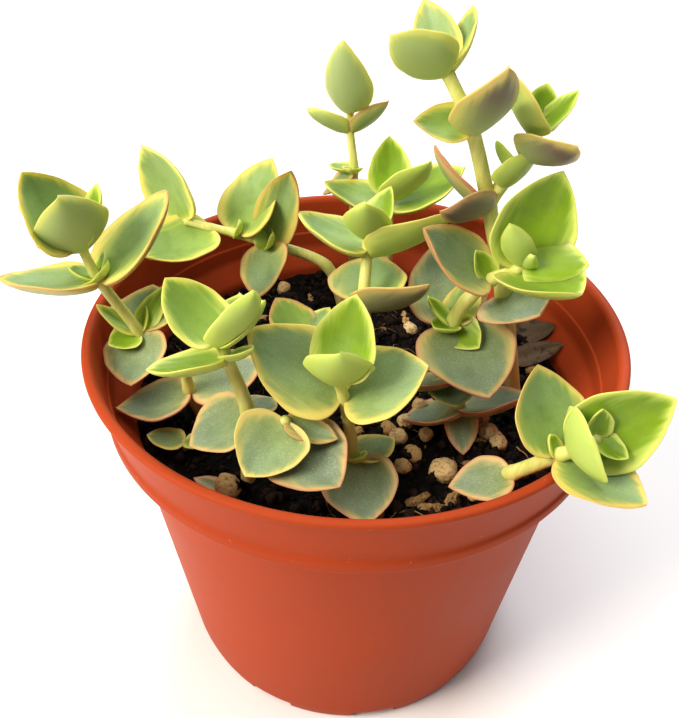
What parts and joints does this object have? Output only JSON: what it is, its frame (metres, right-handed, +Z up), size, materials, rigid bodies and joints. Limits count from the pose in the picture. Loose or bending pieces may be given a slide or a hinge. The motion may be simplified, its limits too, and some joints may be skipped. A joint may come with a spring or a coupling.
{
  "type": "potted crassula pellucida",
  "caption": "Potted variegated Crassula pellucida: upright leafy succulent shoots with pale leaf margins, rooted in potting mix in a round terracotta-coloured plastic nursery pot.",
  "frame": {"origin": "centre of the pot's foot, on the surface it stands on", "axes": "+Z up along the pot's axis, -Y towards the viewer's side, +X to the viewer's right"},
  "size_m": [0.0991, 0.09, 0.1201],
  "materials": {
    "pot_plastic": "terracotta-coloured polypropylene, semi-matt",
    "potting_mix": "dark peat with perlite and bark",
    "leaf": "fleshy variegated leaves and stems with a soft waxy sheen"
  },
  "bodies": {
    "root": {"pot": "pot_plastic", "potting_mix": "potting_mix", "shoot_left": "leaf", "shoot_left_low": "leaf", "shoot_front_left": "leaf", "shoot_front_low": "leaf", "shoot_front_middle": "leaf", "shoot_middle": "leaf", "shoot_back": "leaf", "shoot_back_thin": "leaf", "shoot_back_left": "leaf", "shoot_tall": "leaf", "shoot_right": "leaf", "shoot_right_low": "leaf", "shoot_over_rim": "leaf", "shoot_small": "leaf", "seedling": "leaf"}
  },
  "joints": []
}
